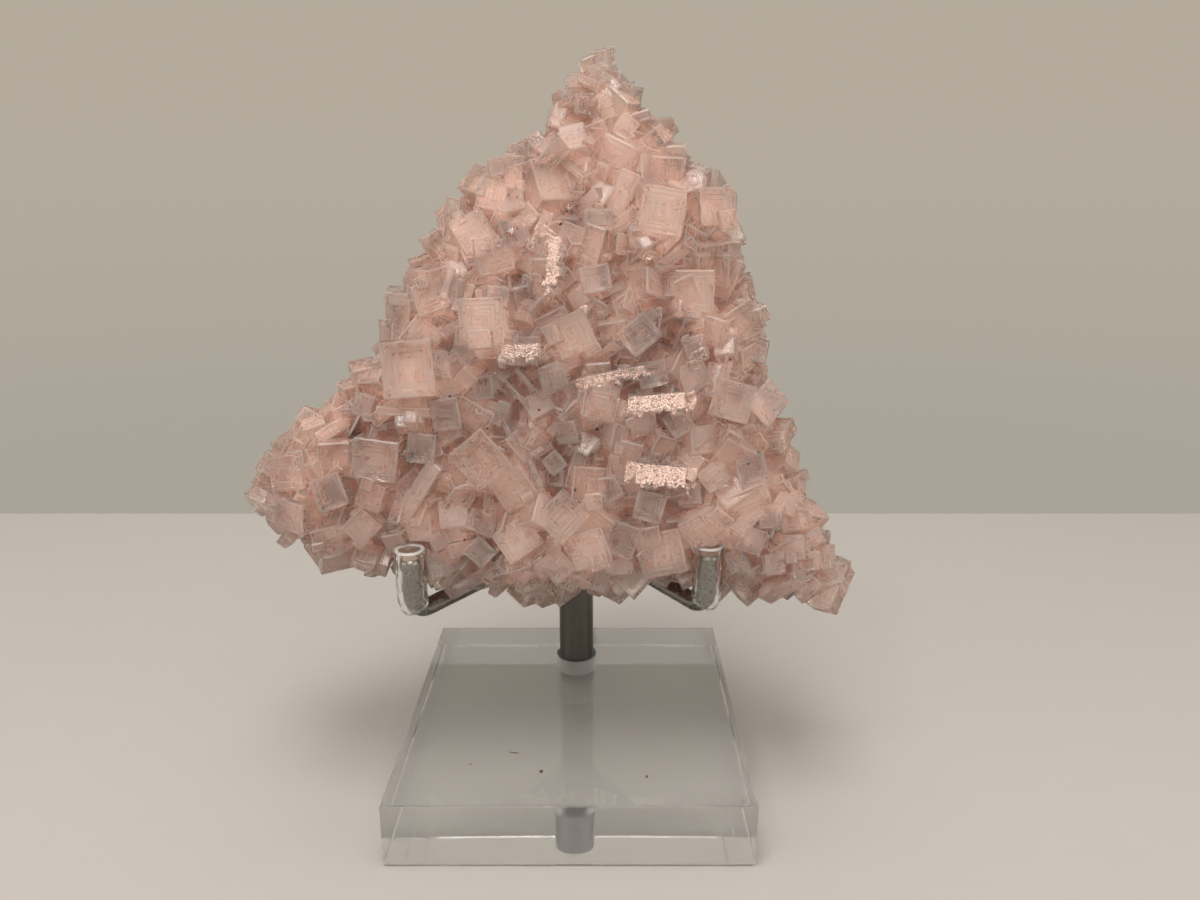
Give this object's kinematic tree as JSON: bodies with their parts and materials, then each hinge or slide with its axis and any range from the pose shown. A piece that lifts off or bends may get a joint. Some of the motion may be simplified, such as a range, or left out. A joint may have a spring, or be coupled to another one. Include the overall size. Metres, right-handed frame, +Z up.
{
  "type": "halite cubic crystal cluster on a display stand",
  "caption": "Pink halite specimen of intergrown cubic and hopper crystals, held upright by two hooked arms on a post in a clear base.",
  "frame": {"origin": "centre of the clear base's underside", "axes": "+Z up, the specimen's front faces -Y, +X is to the right seen from the front"},
  "size_m": [0.1066, 0.0636, 0.1355],
  "materials": {
    "pink_halite": "translucent milky pink rock salt, glassy flat faces with frosted edges and stepped hopper faces",
    "clear_acrylic": "clear polished acrylic with a frosted drilled hole",
    "dark_steel": "dark satin steel rod",
    "rod_steel": "bent round steel rod, satin",
    "clear_vinyl": "soft clear vinyl tube, glossy"
  },
  "bodies": {
    "root": {"halite_cluster": "pink_halite", "acrylic_base": "clear_acrylic", "post": "dark_steel", "arm_left": "rod_steel", "arm_right": "rod_steel", "sleeve_left": "clear_vinyl", "sleeve_right": "clear_vinyl"}
  },
  "joints": []
}
